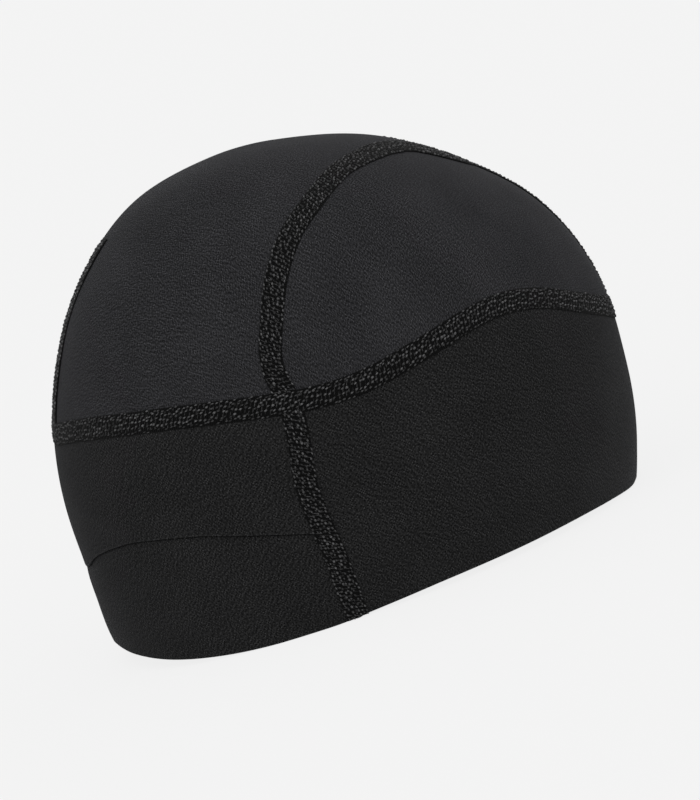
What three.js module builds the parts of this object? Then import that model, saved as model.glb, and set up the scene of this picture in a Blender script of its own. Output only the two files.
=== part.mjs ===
import * as THREE from 'three';
import { mergeVertices } from 'three/addons/utils/BufferGeometryUtils.js';

// Close-fitting stretch-knit liner cap, standing on its hem.
// Millimetres and degrees. +X is the wearer's front, +Y the wearer's left, +Z up. The hem rests at Z = 0.
// Azimuth is measured round the cap from the front (0) to the middle of the back (180), alike on both sides.
// Lift is the angle up from the level where the cap is widest.

// Overall form
const capLength = 201;
const capBreadth = 156;
const capHeight = 153.4;
const widestHeight = 55.4;
const frontQuarterFullness = -0.01;
const backQuarterFullness = 0.02;

// Cloth
const crownCloth = 1.2;
const bandCloth = 2.2;
const rearLayerCloth = 1.1;
const clothGap = 0.3;

// Hem and band
const hemSideLift = 2.15;
const hemBackLift = 8;
const bandHeight = 84;
const earAzimuth = 105;
const earSeamDrift = 2;
const rearEdgeHeight = 46;
const rearOverlap = 16;
const rearEase = 14;

// Crown seams
const crownPointAngle = 45.6;
const dartShare = 0.81;

// Raised flat seams
const seamWidth = 7.4;
const seamThickness = 0.6;
const seamEdgeShare = 0.7;
const seamEndGap = 0.6;
const seamHemGap = 0.5;

// Mesh divisions
const roundSteps = 36;
const frontRows = 12;
const rearRows = 20;
const bandRows = 7;
const layerRows = 5;
const seamStep = 7.5;
const weldDistance = 1e-4;

// Searches and slopes on the form
const lowestAngle = -60;
const highestAngle = 89;
const halvings = 40;
const smallTurn = 0.002;
const tiny = 1e-7;

// Bulge of the middle outline, from the front hem over the top (90) to the back hem, as a share of the
// half length and of the height above the widest level.
const outline = [
  { angle: -45, bulge: 1.086 },
  { angle: -25, bulge: 1.033 },
  { angle: -8, bulge: 0.999 },
  { angle: 10, bulge: 1.003 },
  { angle: 28, bulge: 0.997 },
  { angle: 46, bulge: 0.971 },
  { angle: 64, bulge: 0.978 },
  { angle: 80, bulge: 0.983 },
  { angle: 90, bulge: 1.004 },
  { angle: 100, bulge: 1.014 },
  { angle: 116, bulge: 1.038 },
  { angle: 134, bulge: 1.019 },
  { angle: 152, bulge: 0.995 },
  { angle: 170, bulge: 0.991 },
  { angle: 188, bulge: 1.01 },
  { angle: 197, bulge: 1.046 },
  { angle: 205, bulge: 1.1 },
  { angle: 225, bulge: 1.215 },
];

// Bulge of the side outline, as a share of the half breadth and of the height above the widest level.
const sideOutline = [
  { angle: -45, bulge: 1.06 },
  { angle: -25, bulge: 1.03 },
  { angle: -8, bulge: 1.0 },
  { angle: 10, bulge: 1.0 },
  { angle: 28, bulge: 1.01 },
  { angle: 46, bulge: 1.03 },
  { angle: 64, bulge: 1.02 },
  { angle: 80, bulge: 1.005 },
  { angle: 90, bulge: 1.0 },
];

// Rise of the hem off the surface: a share of the side lift and a share of the back lift.
const hemLine = [
  { azimuth: 0, side: 0, back: 0 },
  { azimuth: 18, side: 0, back: 0 },
  { azimuth: 34, side: 0.65, back: 0 },
  { azimuth: 48, side: 1, back: 0 },
  { azimuth: 66, side: 1, back: 0 },
  { azimuth: 86, side: 0.9, back: 0 },
  { azimuth: 98, side: 0.5, back: 0 },
  { azimuth: 112, side: 0, back: 0 },
  { azimuth: 124, side: 0, back: 0 },
  { azimuth: 136, side: 0, back: 0.1 },
  { azimuth: 150, side: 0, back: 0.33 },
  { azimuth: 165, side: 0, back: 0.7 },
  { azimuth: 180, side: 0, back: 1 },
];

// Height of the seam between the crown and the band, as a share of the band height.
const bandLine = [
  { azimuth: 0, height: 0.697 },
  { azimuth: 12, height: 0.718 },
  { azimuth: 24, height: 0.774 },
  { azimuth: 34, height: 0.838 },
  { azimuth: 45, height: 0.922 },
  { azimuth: 55, height: 0.969 },
  { azimuth: 65, height: 0.97 },
  { azimuth: 77, height: 0.936 },
  { azimuth: 90, height: 0.9 },
  { azimuth: 100, height: 0.904 },
  { azimuth: 110, height: 0.933 },
  { azimuth: 122, height: 0.972 },
  { azimuth: 135, height: 1.002 },
  { azimuth: 150, height: 1.018 },
  { azimuth: 165, height: 1.012 },
  { azimuth: 180, height: 0.992 },
];

// Course of the ear seam by share of the band's height: its turn towards the back, as a share of its drift.
const earSeamLine = [
  { height: 0, turn: 0.95 },
  { height: 0.12, turn: 0.85 },
  { height: 0.28, turn: 0.7 },
  { height: 0.4, turn: 0.82 },
  { height: 0.55, turn: 1.03 },
  { height: 0.68, turn: 0.88 },
  { height: 0.8, turn: 0.4 },
  { height: 0.9, turn: 0.12 },
  { height: 1, turn: 0 },
];

// Height of the free edge of the outer rear layer, as a share of the rear edge height.
const rearEdgeLine = [
  { azimuth: 100, height: 0.62 },
  { azimuth: 107, height: 0.7 },
  { azimuth: 115, height: 0.79 },
  { azimuth: 123, height: 0.87 },
  { azimuth: 132, height: 0.95 },
  { azimuth: 146, height: 1.0 },
  { azimuth: 156, height: 0.975 },
  { azimuth: 166, height: 0.91 },
  { azimuth: 174, height: 0.83 },
  { azimuth: 180, height: 0.8 },
];

// Course of the crown seam, from the band seam at the ear (first row) over the top and forward round the
// tongue of the rear panel to the crown point on the midline (last row): azimuth as a share of the ear
// azimuth, and lift as a share of the way up to the crown point.
const crownSeamRows = [
  { azimuth: 1, lift: 0 },
  { azimuth: 1.012, lift: 0.245 },
  { azimuth: 0.987, lift: 0.519 },
  { azimuth: 0.95, lift: 0.765 },
  { azimuth: 0.892, lift: 0.982 },
  { azimuth: 0.808, lift: 1.156 },
  { azimuth: 0.732, lift: 1.277 },
  { azimuth: 0.642, lift: 1.378 },
  { azimuth: 0.51, lift: 1.446 },
  { azimuth: 0.332, lift: 1.459 },
  { azimuth: 0.211, lift: 1.39 },
  { azimuth: 0.154, lift: 1.268 },
  { azimuth: 0.108, lift: 1.14 },
  { azimuth: 0.058, lift: 1.043 },
  { azimuth: 0, lift: 1 },
];

const right = -1;
const left = 1;
const halfGap = clothGap / 2;
const { degToRad, radToDeg, lerp, clamp, smoothstep } = THREE.MathUtils;

// Smooth curve through the rows of a table, level at both ends.
function readTable(rows, key, column, value) {
  const last = rows.length - 1;
  const x = clamp(value, rows[0][key], rows[last][key]);
  let i = 0;
  while (i < last - 1 && x > rows[i + 1][key]) i += 1;
  const slope = (k) => (k === 0 || k === last
    ? 0
    : (rows[k + 1][column] - rows[k - 1][column]) / (rows[k + 1][key] - rows[k - 1][key]));
  const span = rows[i + 1][key] - rows[i][key];
  const t = (x - rows[i][key]) / span;
  const rise = rows[i + 1][column] - rows[i][column];
  const start = slope(i) * span;
  const end = slope(i + 1) * span;
  const bend = 3 * rise - 2 * start - end;
  return rows[i][column] + start * t + bend * t ** 2 + (start + end - 2 * rise) * t ** 3;
}

// Where a function that grows with its argument passes zero.
function findZero(grows, low = 0, high = 1) {
  let a = low;
  let b = high;
  for (let step = 0; step < halvings; step += 1) {
    const middle = (a + b) / 2;
    if (grows(middle) > 0) b = middle;
    else a = middle;
  }
  return (a + b) / 2;
}

// Direction from the middle of the form. The sign of the azimuth gives the side: right is negative.
function direction(azimuth, lift) {
  const turn = degToRad(azimuth);
  const up = degToRad(lift);
  return new THREE.Vector3(Math.cos(up) * Math.cos(turn), Math.cos(up) * Math.sin(turn), Math.sin(up));
}

// Outer face of the cap in a direction.
function formPoint(toward) {
  const unit = toward.clone().normalize();
  const lift = radToDeg(Math.asin(clamp(unit.z, -1, 1)));
  const level = Math.max(Math.hypot(unit.x, unit.y), tiny);
  const ahead = unit.x / level;
  const aside = unit.y / level;
  const front = readTable(outline, 'angle', 'bulge', lift);
  const back = readTable(outline, 'angle', 'bulge', 180 - lift);
  const side = readTable(sideOutline, 'angle', 'bulge', lift);
  const middle = (frontQuarterFullness + backQuarterFullness) / 2;
  const spread = (frontQuarterFullness - backQuarterFullness) * Math.SQRT1_2;
  const quarter = (middle + spread * ahead) * (2 * ahead * aside) ** 2 * level * level;
  const bulge = side + ((front - back) / 2) * ahead + ((front + back) / 2 - side) * ahead * ahead + quarter;
  return new THREE.Vector3(
    (unit.x * bulge * capLength) / 2,
    (unit.y * bulge * capBreadth) / 2,
    widestHeight + unit.z * bulge * (capHeight - widestHeight),
  );
}

// Direction of a point that lies on or near the form.
function directionOf(point) {
  return new THREE.Vector3(
    (2 * point.x) / capLength,
    (2 * point.y) / capBreadth,
    (point.z - widestHeight) / (capHeight - widestHeight),
  ).normalize();
}

// Outward normal of the form in a direction.
function formNormal(toward) {
  const unit = toward.clone().normalize();
  const steep = Math.abs(unit.x) < Math.abs(unit.z);
  const helper = steep ? new THREE.Vector3(1, 0, 0) : new THREE.Vector3(0, 0, 1);
  const a = new THREE.Vector3().crossVectors(helper, unit).normalize();
  const b = new THREE.Vector3().crossVectors(unit, a);
  const move = (axis) => formPoint(unit.clone().addScaledVector(axis, smallTurn))
    .sub(formPoint(unit.clone().addScaledVector(axis, -smallTurn)));
  return new THREE.Vector3().crossVectors(move(a), move(b)).normalize();
}

// Point at a height of the cap's wall, given as a direction.
function wallDirection(azimuth, height) {
  const above = (angle) => formPoint(direction(azimuth, angle)).z - height;
  const lift = findZero(above, lowestAngle, highestAngle);
  return direction(azimuth, lift);
}

// Azimuth from the front, 0 to 180, whichever side or turn it is given for.
function turnFromFront(azimuth) {
  const turn = Math.abs(azimuth) % 360;
  return turn > 180 ? 360 - turn : turn;
}

function hemHeight(azimuth) {
  const turn = turnFromFront(azimuth);
  const side = readTable(hemLine, 'azimuth', 'side', turn) * hemSideLift;
  const back = readTable(hemLine, 'azimuth', 'back', turn) * hemBackLift;
  return Math.max(0, side + back);
}

function bandSeamHeight(azimuth) {
  return readTable(bandLine, 'azimuth', 'height', turnFromFront(azimuth)) * bandHeight;
}

function rearEdgeAt(azimuth) {
  return readTable(rearEdgeLine, 'azimuth', 'height', turnFromFront(azimuth)) * rearEdgeHeight;
}

// Azimuth of the ear seam at a share of the band's height.
function earSeamAzimuth(share) {
  return earAzimuth + earSeamDrift * readTable(earSeamLine, 'height', 'turn', share);
}

function azimuthOf(toward) {
  return radToDeg(Math.atan2(toward.y, toward.x));
}

// Point on the form beside a course: the course maps 0..1 to directions, and the offset is to its left.
function besideCourse(course, t, offset) {
  const here = course(t);
  const ahead = formPoint(course(Math.min(t + smallTurn, 1)));
  const along = ahead.sub(formPoint(course(Math.max(t - smallTurn, 0)))).normalize();
  const across = new THREE.Vector3().crossVectors(formNormal(here), along).normalize();
  return directionOf(formPoint(here).addScaledVector(across, offset));
}

function liftOf(toward) {
  return radToDeg(Math.asin(toward.z));
}

// The crown seam runs from the right ear over the crown point to the left ear.
const earLift = liftOf(wallDirection(earAzimuth, bandSeamHeight(earAzimuth)));
const crownSeamHalf = (side) => crownSeamRows.map((row) => (
  direction(side * row.azimuth * earAzimuth, lerp(earLift, crownPointAngle, row.lift))
));
const crownSeamCurve = new THREE.CatmullRomCurve3([
  ...crownSeamHalf(right),
  ...crownSeamHalf(left).reverse().slice(1),
]);
const crownSeam = (t) => crownSeamCurve.getPointAt(clamp(t, 0, 1)).normalize();

// How far a direction lies above the seam between crown and band.
function aboveBandSeam(toward) {
  return formPoint(toward).z - bandSeamHeight(azimuthOf(toward));
}

// Where the crown seam, moved aside by an offset, is a clearance above the band seam at the right ear.
function crownSeamStart(offset, clearance) {
  return findZero((t) => aboveBandSeam(besideCourse(crownSeam, t, offset)) - clearance, 0, 0.5);
}

// Closed solid between an outer and an inner grid of points, indexed [along][across].
// Rows that fall together in a corner are merged and their empty triangles dropped.
function shell(outer, inner, ring) {
  const along = outer.length;
  const across = outer[0].length;
  const positions = [];
  const point = (grid, i, j) => grid[i % along][j];
  const quad = (a, b, c, d) => {
    [a, b, c, a, c, d].forEach((corner) => positions.push(corner.x, corner.y, corner.z));
  };
  const spans = ring ? along : along - 1;
  for (let i = 0; i < spans; i += 1) {
    for (let j = 0; j < across - 1; j += 1) {
      quad(point(outer, i, j), point(outer, i + 1, j), point(outer, i + 1, j + 1), point(outer, i, j + 1));
      quad(point(inner, i, j), point(inner, i, j + 1), point(inner, i + 1, j + 1), point(inner, i + 1, j));
    }
    const top = across - 1;
    quad(point(outer, i, 0), point(inner, i, 0), point(inner, i + 1, 0), point(outer, i + 1, 0));
    quad(point(outer, i, top), point(outer, i + 1, top), point(inner, i + 1, top), point(inner, i, top));
  }
  if (!ring) {
    const end = along - 1;
    for (let j = 0; j < across - 1; j += 1) {
      quad(outer[0][j], outer[0][j + 1], inner[0][j + 1], inner[0][j]);
      quad(outer[end][j], inner[end][j], inner[end][j + 1], outer[end][j + 1]);
    }
  }
  const soup = new THREE.BufferGeometry();
  soup.setAttribute('position', new THREE.Float32BufferAttribute(positions, 3));
  const merged = mergeVertices(soup, weldDistance);
  const kept = [];
  const index = merged.index.array;
  for (let i = 0; i < index.length; i += 3) {
    const [a, b, c] = [index[i], index[i + 1], index[i + 2]];
    if (a !== b && b !== c && c !== a) kept.push(a, b, c);
  }
  merged.setIndex(kept);
  merged.computeVertexNormals();
  return merged;
}

// Grid of made things over shares 0..1 along and across.
function mapGrid(alongSteps, acrossSteps, make) {
  return Array.from({ length: alongSteps + 1 }, (_, i) => (
    Array.from({ length: acrossSteps + 1 }, (__, j) => make(i / alongSteps, j / acrossSteps))
  ));
}

// Direction at a share of the arc between two directions.
function arcBetween(from, to, share) {
  const angle = from.angleTo(to);
  if (angle < tiny) return from.clone();
  const start = Math.sin((1 - share) * angle) / Math.sin(angle);
  const end = Math.sin(share * angle) / Math.sin(angle);
  return from.clone().multiplyScalar(start).addScaledVector(to, end);
}

// Crown panel between a low and a high edge, given as directions for 0..1 along them.
function crownPanel(lowEdge, highEdge, steps, rows) {
  const courses = mapGrid(steps, rows, (u, v) => arcBetween(lowEdge(u), highEdge(u), v));
  const outer = courses.map((row) => row.map((toward) => formPoint(toward)));
  const inner = courses.map((row) => row.map((toward) => (
    formPoint(toward).addScaledVector(formNormal(toward), -crownCloth)
  )));
  return shell(outer, inner, false);
}

// Direction on the lower edge of the crown, just above the band seam.
function crownFoot(azimuth) {
  return wallDirection(azimuth, bandSeamHeight(azimuth) + halfGap);
}

function crownRear() {
  const start = crownSeamStart(halfGap, halfGap);
  const highEdge = (u) => besideCourse(crownSeam, lerp(1 - start, start, u), halfGap);
  const ear = azimuthOf(highEdge(0));
  const lowEdge = (u) => (u === 0 || u === 1 ? highEdge(u) : crownFoot(lerp(ear, 360 - ear, u)));
  return crownPanel(lowEdge, highEdge, roundSteps, rearRows);
}

// The left front panel is the right one mirrored, and run the other way so that it keeps facing out.
function crownFront(side) {
  const start = crownSeamStart(-halfGap, halfGap);
  const stop = findZero((t) => formPoint(besideCourse(crownSeam, t, -halfGap)).y + halfGap);
  const ear = azimuthOf(besideCourse(crownSeam, start, -halfGap));
  const middle = -radToDeg(Math.asin(clothGap / capLength));
  const highEdge = (u) => besideCourse(crownSeam, lerp(start, stop, u), -halfGap);
  const lowEdge = (u) => (u === 0 ? highEdge(0) : crownFoot(lerp(ear, middle, u)));
  const toSide = (edge) => (u) => {
    const toward = edge(side === right ? u : 1 - u);
    return new THREE.Vector3(toward.x, -side * toward.y, toward.z);
  };
  return crownPanel(toSide(lowEdge), toSide(highEdge), roundSteps / 2, frontRows);
}

// Inner point of the band: level with the outer one at the hem, square to the cloth at the top.
function bandPoint(azimuth, height, share, depth) {
  const toward = wallDirection(azimuth, height);
  const normal = formNormal(toward);
  const level = new THREE.Vector3(normal.x, normal.y, 0).normalize();
  const inward = level.lerp(normal, share).normalize();
  return formPoint(toward).addScaledVector(inward, -depth / inward.dot(normal));
}

// Panel of the band between two ear seams. Heights and depth are functions of the azimuth and height.
function bandPanel({ first, last, low, high, depth, cloth, steps, rows }) {
  const place = (u, v, inset) => {
    const guess = lerp(first(v), last(v), u);
    const height = lerp(low(guess), high(guess), v);
    const share = clamp((height - hemHeight(guess)) / (bandSeamHeight(guess) - hemHeight(guess)), 0, 1);
    const azimuth = lerp(first(share), last(share), u);
    const level = lerp(low(azimuth), high(azimuth), v);
    return bandPoint(azimuth, level, share, depth(azimuth, level) + inset);
  };
  const outer = mapGrid(steps, rows, (u, v) => place(u, v, 0));
  const inner = mapGrid(steps, rows, (u, v) => place(u, v, cloth));
  return shell(outer, inner, false);
}

const seamGapAngle = radToDeg(clothGap / capBreadth);
const bandTop = (azimuth) => bandSeamHeight(azimuth) - halfGap;

function bandFront() {
  const edge = (share) => earSeamAzimuth(share) - seamGapAngle;
  return bandPanel({
    first: (share) => -edge(share),
    last: edge,
    low: hemHeight,
    high: bandTop,
    depth: () => 0,
    cloth: bandCloth,
    steps: roundSteps,
    rows: bandRows,
  });
}

function bandRear(low, high, depth) {
  const edge = (share) => earSeamAzimuth(share) + seamGapAngle;
  return bandPanel({
    first: edge,
    last: (share) => 360 - edge(share),
    low,
    high,
    depth,
    cloth: rearLayerCloth,
    steps: roundSteps,
    rows: layerRows,
  });
}

// The inner rear layer lies under the outer one and eases out to the form below its free edge.
function innerLayerDepth(azimuth, height) {
  const below = rearEdgeAt(azimuth) - height;
  return (rearLayerCloth + clothGap) * (1 - smoothstep(below, 0, rearEase));
}

// Length of a course over the form.
function courseLength(course) {
  const spots = Array.from({ length: halvings + 1 }, (_, i) => formPoint(course(i / halvings)));
  return spots.slice(1).reduce((sum, spot, i) => sum + spot.distanceTo(spots[i]), 0);
}

// Raised seam along a course. The ends of each line of it are found by their own functions of the offset.
function raisedSeam(course, startAt, endAt, ring) {
  const steps = Math.round(courseLength(course) / seamStep);
  const offsets = [-seamWidth / 2, 0, seamWidth / 2];
  const grid = (rise) => mapGrid(ring ? steps - 1 : steps, offsets.length - 1, (u, v) => {
    const offset = offsets[Math.round(v * (offsets.length - 1))];
    const share = ring ? (u * (steps - 1)) / steps : u;
    const t = lerp(startAt(offset), endAt(offset), share);
    const toward = besideCourse(course, t, offset);
    return formPoint(toward).addScaledVector(formNormal(toward), rise(offset));
  });
  const top = (offset) => clothGap + seamThickness * (offset === 0 ? 1 : seamEdgeShare);
  return shell(grid(top), grid(() => clothGap), ring);
}

const seamClear = seamWidth / 2 + seamEndGap;

function seamCrown() {
  const start = (offset) => crownSeamStart(offset, seamClear);
  return raisedSeam(crownSeam, start, (offset) => 1 - start(offset), false);
}

// Course up or down the midline between two lifts.
function midlineCourse(azimuth, fromLift, toLift) {
  return (t) => direction(azimuth, lerp(fromLift, toLift, t));
}

function seamCrownFront() {
  const foot = liftOf(wallDirection(0, bandSeamHeight(0)));
  const course = midlineCourse(0, foot, crownPointAngle);
  const start = (offset) => findZero((t) => aboveBandSeam(besideCourse(course, t, offset)) - seamClear);
  const away = (toward) => formPoint(toward).distanceTo(formPoint(direction(0, crownPointAngle)));
  const stop = findZero((t) => seamClear - away(course(t)));
  return raisedSeam(course, start, () => stop, false);
}

function seamDart() {
  const tip = bandSeamHeight(180) + dartShare * (capHeight - bandSeamHeight(180));
  const foot = liftOf(wallDirection(180, bandSeamHeight(180)));
  const course = midlineCourse(180, foot, liftOf(wallDirection(180, tip)));
  const start = (offset) => findZero((t) => aboveBandSeam(besideCourse(course, t, offset)) - seamClear);
  return raisedSeam(course, start, () => 1, false);
}

function seamBand() {
  const course = (t) => {
    const azimuth = 360 * t - 180;
    return wallDirection(azimuth, bandSeamHeight(azimuth));
  };
  return raisedSeam(course, () => 0, () => 1, true);
}

function seamEar(side) {
  const course = (t) => {
    const azimuth = earSeamAzimuth(1 - t);
    const height = lerp(bandSeamHeight(azimuth), hemHeight(azimuth), t);
    return wallDirection(side * azimuth, height);
  };
  const start = (offset) => findZero((t) => -aboveBandSeam(besideCourse(course, t, offset)) - seamClear);
  const aboveHem = (toward) => formPoint(toward).z - hemHeight(azimuthOf(toward));
  const stop = (offset) => findZero((t) => seamHemGap - aboveHem(besideCourse(course, t, offset)));
  return raisedSeam(course, start, stop, false);
}

const crownMaterial = new THREE.MeshStandardMaterial({ color: 0x2d2d30, roughness: 0.92, metalness: 0 });
const bandMaterial = new THREE.MeshStandardMaterial({ color: 0x202021, roughness: 0.95, metalness: 0 });
const threadMaterial = new THREE.MeshStandardMaterial({ color: 0x262627, roughness: 0.7, metalness: 0 });

function piece(name, geometry, material) {
  const mesh = new THREE.Mesh(geometry, material.clone());
  mesh.name = name;
  return mesh;
}

const cap = new THREE.Group();

const crown = new THREE.Group();
crown.add(piece('crown_rear', crownRear(), crownMaterial));
crown.add(piece('crown_front_right', crownFront(right), crownMaterial));
crown.add(piece('crown_front_left', crownFront(left), crownMaterial));
cap.add(crown);

const band = new THREE.Group();
band.add(piece('band_front', bandFront(), bandMaterial));
band.add(piece('band_rear_outer', bandRear(rearEdgeAt, bandTop, () => 0), bandMaterial));
band.add(piece(
  'band_rear_inner',
  bandRear(hemHeight, (azimuth) => rearEdgeAt(azimuth) + rearOverlap, innerLayerDepth),
  bandMaterial,
));
cap.add(band);

const seams = new THREE.Group();
seams.add(piece('seam_crown', seamCrown(), threadMaterial));
seams.add(piece('seam_crown_front', seamCrownFront(), threadMaterial));
seams.add(piece('seam_dart', seamDart(), threadMaterial));
seams.add(piece('seam_band', seamBand(), threadMaterial));
seams.add(piece('seam_ear_right', seamEar(right), threadMaterial));
seams.add(piece('seam_ear_left', seamEar(left), threadMaterial));
cap.add(seams);

export default cap;
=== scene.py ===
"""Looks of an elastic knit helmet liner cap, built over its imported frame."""

import math

import bmesh
import bpy
import numpy as np
from bpy.props import FloatProperty, FloatVectorProperty, PointerProperty
from mathutils import Matrix, Vector


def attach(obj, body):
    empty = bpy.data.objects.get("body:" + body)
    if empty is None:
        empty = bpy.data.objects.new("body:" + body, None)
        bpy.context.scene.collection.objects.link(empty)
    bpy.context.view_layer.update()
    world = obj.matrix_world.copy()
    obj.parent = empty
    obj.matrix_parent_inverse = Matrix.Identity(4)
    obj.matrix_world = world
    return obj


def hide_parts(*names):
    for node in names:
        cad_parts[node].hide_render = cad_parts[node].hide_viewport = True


bl_info = {
    "name": "Helmet Liner Cap",
    "version": (1, 0, 0),
    "blender": (4, 5, 0),
    "location": "View3D > Sidebar > Liner Cap",
    "description": "Builds the knit panels, flat seams and setting of a helmet liner cap",
    "category": "Object",
}

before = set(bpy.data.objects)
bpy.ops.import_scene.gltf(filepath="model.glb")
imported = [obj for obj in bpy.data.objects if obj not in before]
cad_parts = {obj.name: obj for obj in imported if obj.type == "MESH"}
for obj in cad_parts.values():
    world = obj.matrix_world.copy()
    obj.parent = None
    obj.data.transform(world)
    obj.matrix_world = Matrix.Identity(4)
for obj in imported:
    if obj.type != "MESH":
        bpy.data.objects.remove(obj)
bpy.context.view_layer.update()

# Sizes of the form, in metres
WIDEST_HEIGHT = 0.0554
CAP_LENGTH = 0.201
CAP_BREADTH = 0.156
CAP_HEIGHT = 0.1534
FRONT_QUARTER_FULLNESS = -0.01
BACK_QUARTER_FULLNESS = 0.02
HEM_SIDE_LIFT = 0.00215
HEM_BACK_LIFT = 0.008
BAND_HEIGHT = 0.084
REAR_EDGE_HEIGHT = 0.046
REAR_OVERLAP = 0.016
REAR_EASE = 0.007

# Angles, in degrees
EAR_AZIMUTH = 105.0
EAR_SEAM_DRIFT = 2.0
CROWN_POINT_LIFT = 45.6
DART_SHARE = 0.81

# Bulge of the middle outline by angle, from the front hem over the top (90) to the back hem
OUTLINE = (
    (-45, 1.086), (-25, 1.033), (-8, 0.999), (10, 1.003), (28, 0.997), (46, 0.971), (64, 0.978),
    (80, 0.983), (90, 1.004), (100, 1.014), (116, 1.038), (134, 1.019), (152, 0.995), (170, 0.991),
    (188, 1.01), (197, 1.046), (205, 1.1), (225, 1.215),
)

# Bulge of the side outline by angle
SIDE_OUTLINE = (
    (-45, 1.06), (-25, 1.03), (-8, 1.0), (10, 1.0), (28, 1.01), (46, 1.03), (64, 1.02), (80, 1.005),
    (90, 1.0),
)

# Rise of the hem by azimuth: shares of the side lift and of the back lift
HEM_LINE = (
    (0, 0, 0), (18, 0, 0), (34, 0.65, 0), (48, 1, 0), (66, 1, 0), (86, 0.9, 0), (98, 0.5, 0), (112, 0, 0),
    (124, 0, 0), (136, 0, 0.1), (150, 0, 0.33), (165, 0, 0.7), (180, 0, 1),
)

# Height of the band seam by azimuth, as a share of the band height
BAND_LINE = (
    (0, 0.697), (12, 0.718), (24, 0.774), (34, 0.838), (45, 0.922), (55, 0.969), (65, 0.97), (77, 0.936),
    (90, 0.9), (100, 0.904), (110, 0.933), (122, 0.972), (135, 1.002), (150, 1.018), (165, 1.012),
    (180, 0.992),
)

# Turn of the ear seam towards the back by share of the band's height, as a share of its drift
EAR_SEAM_LINE = (
    (0, 0.95), (0.12, 0.85), (0.28, 0.7), (0.4, 0.82), (0.55, 1.03), (0.68, 0.88), (0.8, 0.4), (0.9, 0.12),
    (1, 0),
)

# Height of the free edge at the back by azimuth, as a share of the rear edge height
REAR_EDGE_LINE = (
    (100, 0.62), (107, 0.7), (115, 0.79), (123, 0.87), (132, 0.95), (146, 1.0), (156, 0.975), (166, 0.91),
    (174, 0.83), (180, 0.8),
)

# Course of the crown seam from the ear to the crown point: shares of the ear azimuth and of the way up
CROWN_SEAM_ROWS = (
    (1, 0), (1.012, 0.245), (0.987, 0.519), (0.95, 0.765), (0.892, 0.982), (0.808, 1.156), (0.732, 1.277),
    (0.642, 1.378), (0.51, 1.446), (0.332, 1.459), (0.211, 1.39), (0.154, 1.268), (0.108, 1.14),
    (0.058, 1.043), (0, 1),
)

# Searches and slopes on the form
LOWEST_LIFT = -60.0
HIGHEST_LIFT = 89.0
HALVINGS = 34
SMALL_TURN = 0.002
TINY = 1e-9
COURSE_POINTS = 900
SPAN_POINTS = 45


def read_table(rows, x, column=1):
    """Smooth curve through a table's rows, level at both ends."""
    keys = np.array([row[0] for row in rows], float)
    values = np.array([row[column] for row in rows], float)
    x = np.clip(x, keys[0], keys[-1])
    i = np.clip(np.searchsorted(keys, x, side="right") - 1, 0, len(keys) - 2)
    slopes = np.zeros(len(keys))
    slopes[1:-1] = (values[2:] - values[:-2]) / (keys[2:] - keys[:-2])
    span = keys[i + 1] - keys[i]
    t = (x - keys[i]) / span
    rise = values[i + 1] - values[i]
    start, end = slopes[i] * span, slopes[i + 1] * span
    return values[i] + start * t + (3 * rise - 2 * start - end) * t**2 + (start + end - 2 * rise) * t**3


def unit(vectors):
    """The same vectors at length one."""
    return vectors / np.maximum(np.linalg.norm(vectors, axis=-1, keepdims=True), TINY)


def smooth_share(value, low, high):
    """Eases from 0 at low to 1 at high."""
    t = np.clip((value - low) / (high - low), 0, 1)
    return t * t * (3 - 2 * t)


def direction(azimuth, lift):
    """Direction from the middle of the form; a negative azimuth is on the wearer's right."""
    turn, up = np.broadcast_arrays(np.radians(azimuth), np.radians(lift))
    return np.stack([np.cos(up) * np.cos(turn), np.cos(up) * np.sin(turn), np.sin(up)], axis=-1)


def form_point(toward):
    """Outer face of the cap in a direction."""
    way = unit(toward)
    lift = np.degrees(np.arcsin(np.clip(way[..., 2], -1, 1)))
    level = np.maximum(np.hypot(way[..., 0], way[..., 1]), TINY)
    ahead, aside = way[..., 0] / level, way[..., 1] / level
    front = read_table(OUTLINE, lift)
    back = read_table(OUTLINE, 180 - lift)
    side = read_table(SIDE_OUTLINE, lift)
    middle = (FRONT_QUARTER_FULLNESS + BACK_QUARTER_FULLNESS) / 2
    spread = (FRONT_QUARTER_FULLNESS - BACK_QUARTER_FULLNESS) * math.sqrt(0.5)
    quarter = (middle + spread * ahead) * (2 * ahead * aside) ** 2 * level**2
    bulge = side + (front - back) / 2 * ahead + ((front + back) / 2 - side) * ahead**2 + quarter
    return np.stack([
        way[..., 0] * bulge * CAP_LENGTH / 2,
        way[..., 1] * bulge * CAP_BREADTH / 2,
        WIDEST_HEIGHT + way[..., 2] * bulge * (CAP_HEIGHT - WIDEST_HEIGHT),
    ], axis=-1)


def direction_of(point):
    """Direction of a point that lies on or near the form."""
    return unit(np.stack([
        2 * point[..., 0] / CAP_LENGTH,
        2 * point[..., 1] / CAP_BREADTH,
        (point[..., 2] - WIDEST_HEIGHT) / (CAP_HEIGHT - WIDEST_HEIGHT),
    ], axis=-1))


def form_normal(toward):
    """Outward normal of the form in a direction."""
    way = unit(toward)
    steep = (np.abs(way[..., 0]) < np.abs(way[..., 2]))[..., None]
    helper = np.where(steep, np.array([1.0, 0.0, 0.0]), np.array([0.0, 0.0, 1.0]))
    a = unit(np.cross(helper, way))
    b = np.cross(way, a)
    move_a = form_point(way + a * SMALL_TURN) - form_point(way - a * SMALL_TURN)
    move_b = form_point(way + b * SMALL_TURN) - form_point(way - b * SMALL_TURN)
    return unit(np.cross(move_a, move_b))


def find_zero(grows, low, high):
    """Where a function that grows with its argument passes zero, for whole arrays at once."""
    for _ in range(HALVINGS):
        middle = (low + high) / 2
        above = grows(middle) > 0
        high = np.where(above, middle, high)
        low = np.where(above, low, middle)
    return (low + high) / 2


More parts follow.
